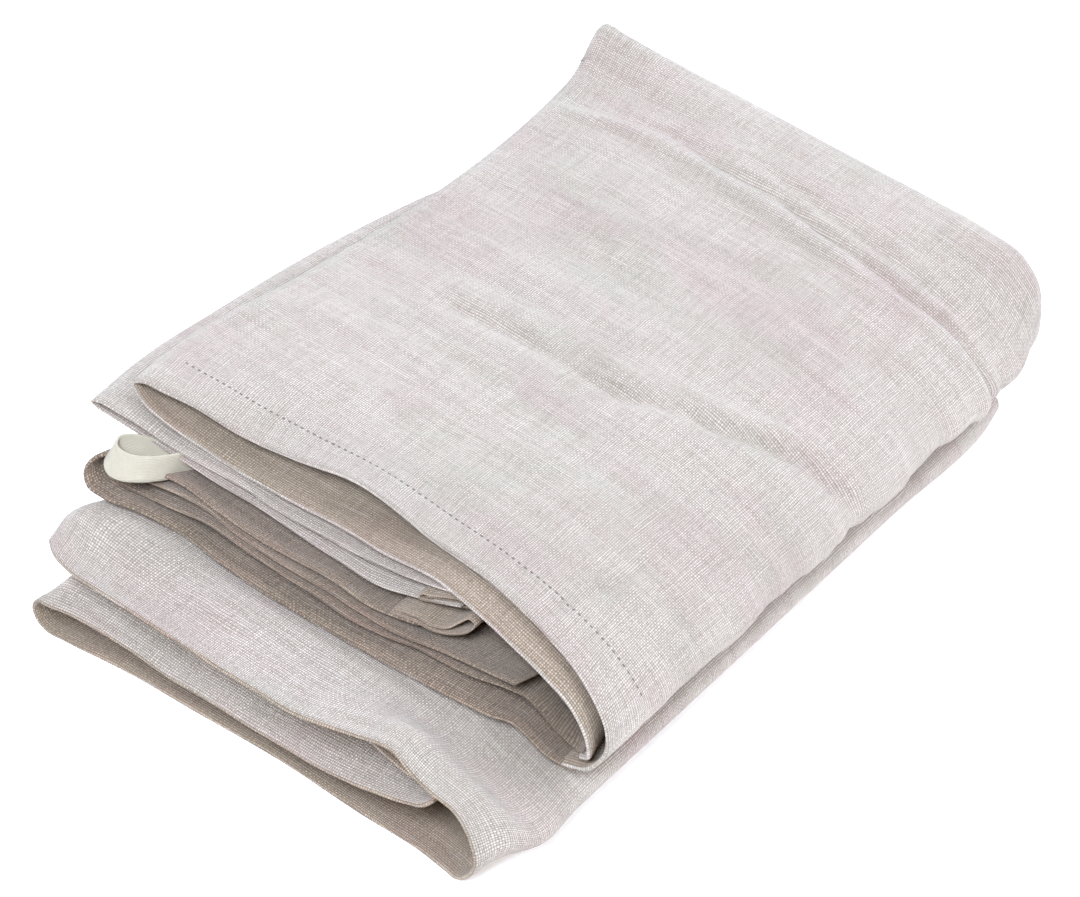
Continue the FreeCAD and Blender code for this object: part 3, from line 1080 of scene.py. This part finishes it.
def build_base_cloth(material, painted_shade_material):
    """One flattened tube of cloth: both leaves outside, both inside, and the folds between them."""
    risen = []
    shelf = []
    for column, (x, z) in enumerate(BASE_INSIDE):
        near_x, near_y, near_z = BASE_NEAR[column]
        on_top = TOP_START <= column <= TOP_END
        puff = float(ramp(np.array(x), -60.0, -110.0))
        inner = column <= INNER_END or column > TOP_END + 1
        # behind their edges the inner leaves climb towards the top leaf
        closing = float(ramp(np.array(x), 88.0, 55.0))
        climb = max(RISEN_Z - near_z, 0.0) * closing
        if inner:
            risen.append((near_x, near_y + 15, near_z + 0.35 * climb))
            shelf.append((x, SHELF_Y, z + max(SHELF_Z - z, 0.0) * closing))
        elif on_top:
            risen.append((near_x - 4 * puff, near_y + 13, near_z + 0.5 + 1.5 * puff))
            shelf.append((x - 17 * puff, SHELF_Y, z + 3.5 * puff))
        else:
            risen.append((near_x * 0.45 + x * 0.55, near_y + 14, near_z + 2.0 * (near_z < 20)))
            shelf.append((x, SHELF_Y, z + 1.5 * (x < 120 and z < 3)))
    sections = [
        BASE_NEAR,
        risen,
        shelf,
        at_depth(-150, BASE_INSIDE),
        at_depth(-40, BASE_INSIDE),
        at_depth(80, BASE_INSIDE),
        at_depth(160, BASE_INSIDE),
        [(x * 0.975, 174, 1.2 + (z - 1.2) * 0.9) for x, z in BASE_INSIDE],
    ]
    grid = loft(sections)
    weight = ramp(grid[:, :, 2], 36, 44) * ramp(grid[:, :, 1], -216, -196) * ramp(grid[:, :, 1], -150, -172)
    ripple = cloud(grid, 60, 22, 4.0) * 1.6 * weight
    grid = grid + normals_of(grid) * ripple[:, :, None]
    # one face of the tube and its rim take the linen with painted shade, the other face plain linen
    return shell("base_cloth", grid, hem_thickness(grid, 5.0), painted_shade_material, material)


# ======== the cross fold at the far end ========

WALL_LEFT = [
    (140, 1.4),
    (168, 1.5),
    (178, 6),
    (182, 18),
    (188, 33),
    (199, 50),
    (209, 66),
    (214, 79),
    (212, 88),
    (205, 91.5),
    (196, 90),
]
WALL_RIGHT = [
    (140, 1.4),
    (166, 1.5),
    (175, 5),
    (178, 15),
    (183, 28),
    (193, 42),
    (203, 55),
    (209, 66),
    (208, 74),
    (202, 77.5),
    (194, 77),
]


def build_cross_fold(material):
    """The cloth that climbs the far end, leaning out towards the top."""

    def wall(x, share, pull, height=1.0):
        points = []
        for (y0, z0), (y1, z1) in zip(WALL_LEFT, WALL_RIGHT):
            y = y0 + (y1 - y0) * share
            z = z0 + (z1 - z0) * share
            points.append((x, y - pull, z * height))
        return points

    sections = [
        wall(-127, 0.0, 14),
        wall(-120, 0.05, 5),
        wall(-100, 0.1, 1.0),
        wall(-40, 0.35, 1.0),
        wall(40, 0.6, 1.0),
        wall(92, 0.85, 1.5, 0.98),
        wall(113, 1.0, 6, 0.90),
        wall(121, 1.0, 18, 0.78),
    ]
    return shell("cross_fold_cloth", loft(sections, 2.5, 4.0), CLOTH, material)


def build_bridge(material):
    """The inner wall of the cross fold, between the two halves' facing leaves."""
    path = [(168, 46.2), (178, 45.6), (188, 45.2), (196, 46.8), (190, 48.4)]
    sections = [[(x, y, z) for y, z in path] for x in (-112, -40, 40, 92)]
    return shell("cross_fold_bridge", loft(sections, 1.2, 5.0), CLOTH, material)


# ======== the tape ========

# the middle of the tape, and the direction across its width, from the back leg round to the front one
TAPE_PATH = [
    ((-94, -134, 65.0), (0.10, 0.60, 0.80)),
    ((-101, -139, 65.6), (0.15, 0.66, 0.74)),
    ((-109, -143.5, 66.8), (0.22, 0.70, 0.68)),
    ((-116.5, -148, 68.2), (0.25, 0.72, 0.65)),
    ((-122, -151.5, 69.0), (0.20, 0.74, 0.64)),
    ((-124.5, -155, 68.8), (0.08, 0.76, 0.64)),
    ((-123, -158.5, 68.2), (-0.05, 0.77, 0.63)),
    ((-118, -161.5, 68.2), (-0.12, 0.78, 0.62)),
    ((-111, -161.5, 68.6), (-0.12, 0.78, 0.62)),
    ((-104, -157, 68.2), (-0.12, 0.76, 0.64)),
    ((-99, -150, 67.0), (-0.10, 0.70, 0.70)),
    ((-95, -142, 65.6), (-0.05, 0.62, 0.78)),
    ((-91, -134, 65.0), (0.0, 0.60, 0.80)),
]
TAIL_DEPTH = 26.0
TAIL_LIE = (0.0, 0.60, 0.80)


def ribbon(name, path, material):
    """A flat tape along a path, with its width in the given directions."""
    centres = np.array([place for place, _ in path], float)
    widths = np.array([direction for _, direction in path], float)
    widths = widths / np.linalg.norm(widths, axis=1, keepdims=True)
    strands = []
    for share in (-0.5, -0.25, 0.0, 0.25, 0.5):
        cup = 0.35 * (1 - 4 * share * share)
        strands.append(centres + widths * (share * TAPE_WIDTH) + np.array([0, cup, 0]))
    sections = np.array(strands).transpose(1, 0, 2)
    grid = loft(sections, 0.9, 1.1)
    return shell(name, grid, TAPE_GAUGE, material)


# ======== putting the pieces on their bodies ========


def dress(nodes):
    if nodes:
        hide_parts(*nodes)


add_camera()
add_studio()
linen = linen_material("linen_cloth")
# the two darker, browner copies of the linen are painted shade: they stand in for the shadow on the cloth's
# inner faces and in the deep folds between the leaves
shade_painted_linen = linen_material("linen_with_painted_shade", light=(0.58, 0.435, 0.315, 1), dark=(0.30, 0.212, 0.14, 1))
deep_shade_painted_linen = linen_material("linen_with_painted_deep_shade", light=(0.50, 0.36, 0.255, 1), dark=(0.19, 0.13, 0.085, 1))
tape = tape_material()
thread = thread_material()

base = build_base_cloth(linen, shade_painted_linen)
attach(base, "base_stack")
dress(
    [
        "base_bottom_leaf",
        "base_right_fold",
        "base_top_leaf",
        "base_left_upper_fold",
        "base_lining_upper_leaf",
        "base_lining_hook",
        "base_lining_lower_leaf",
        "base_left_lower_fold",
    ],
)

# the under cloth, lining leg and inner ply are made of linen with painted deep shade
under = build_under_cloth(deep_shade_painted_linen)
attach(under, "mouth_stack")
dress(
    ["mouth_front_bottom_leaf", "mouth_left_lower_fold", "inner_ply_upper"],
)

leg = build_lining_leg(deep_shade_painted_linen)
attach(leg, "mouth_stack")
dress(["mouth_lining_bottom_leaf"])

ply = build_inner_ply(deep_shade_painted_linen)
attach(ply, "mouth_stack")
dress(["inner_ply_lower", "corner_flap"])

tucked = build_tucked_leaf(linen)
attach(tucked, "mouth_stack")
dress(["tucked_leaf"])

# the seam's strips are made of linen with painted shade
hairpin = build_run_back("seam_hairpin", HAIRPIN, RUN_BACK, CLOTH, shade_painted_linen)
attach(hairpin, "mouth_stack")
dress(["seam_edge_upper"])

core = build_run_back("seam_core", HAIRPIN_CORE, RUN_BACK, CLOTH, shade_painted_linen)
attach(core, "mouth_stack")
dress([])

curl = build_run_back("seam_curl", CURL, RUN_BACK, CLOTH, shade_painted_linen)
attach(curl, "mouth_stack")
dress(["seam_edge_lower"])

mouth, mouth_grid = build_mouth_cloth(linen, shade_painted_linen)
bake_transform(mouth)
dress(
    [
        "mouth_front_leaf",
        "mouth_front_hem",
        "mouth_outer_fold",
        "mouth_lining_leaf",
        "mouth_lining_hem",
        "mouth_inner_fold",
        "mouth_left_seam",
        "mouth_front_corner",
        "mouth_lining_corner",
        "corner_front_hem",
        "corner_lining_hem",
        "corner_left_seam",
    ],
)

tip_column = int(np.argmin(mouth_grid[len(mouth_grid) // 2, :, 0]))
last_column = mouth_grid.shape[1] - STITCH_STOP
stitches = build_stitches(mouth_grid, tip_column + STITCH_START, last_column, "hem_stitches", thread)
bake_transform(stitches)
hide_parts("mouth_hem_stitches", "corner_hem_stitches")

wall = build_cross_fold(linen)
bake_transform(wall)
dress(["cross_fold_lower", "cross_fold_upper"])

bridge = build_bridge(linen)
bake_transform(bridge)
dress([])

loop = ribbon("loop_tape", TAPE_PATH, tape)
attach(loop, "loop")
dress(["tape_loop"])

tail_path = [
    TAPE_PATH[-1],
    ((-89, -122, 64.8), TAIL_LIE),
    ((-86, -134 + TAIL_DEPTH, 64.8), TAIL_LIE),
]
tail = ribbon("tail_tape", tail_path, tape)
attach(tail, "mouth_stack")
dress(["tape_tail"])
